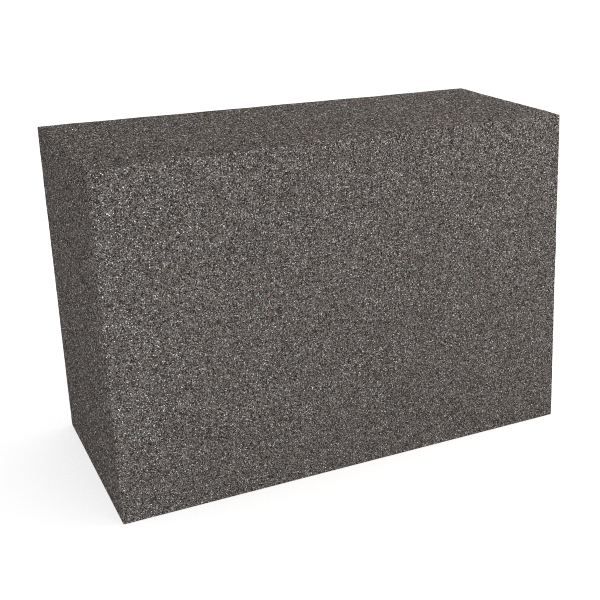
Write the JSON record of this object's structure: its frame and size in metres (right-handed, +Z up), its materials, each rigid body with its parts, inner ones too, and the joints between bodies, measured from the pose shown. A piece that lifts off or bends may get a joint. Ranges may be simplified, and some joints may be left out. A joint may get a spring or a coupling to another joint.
{
  "type": "foam block",
  "caption": "Solid rectangular block of charcoal open-cell foam, for resting, raising, padding or packing things on a bench or desk.",
  "frame": {"origin": "middle of the bottom face", "axes": "+X along the length, left end to right end seen from the front; +Y from the front face to the back face, the shortest side; +Z up; the front face looks along -Y"},
  "size_m": [0.3, 0.132, 0.208],
  "materials": {
    "foam": "charcoal open-cell polyurethane foam, saw-cut: dull and grainy, with small cell windows that glint"
  },
  "bodies": {
    "root": {"foam_block": "foam"}
  },
  "joints": []
}
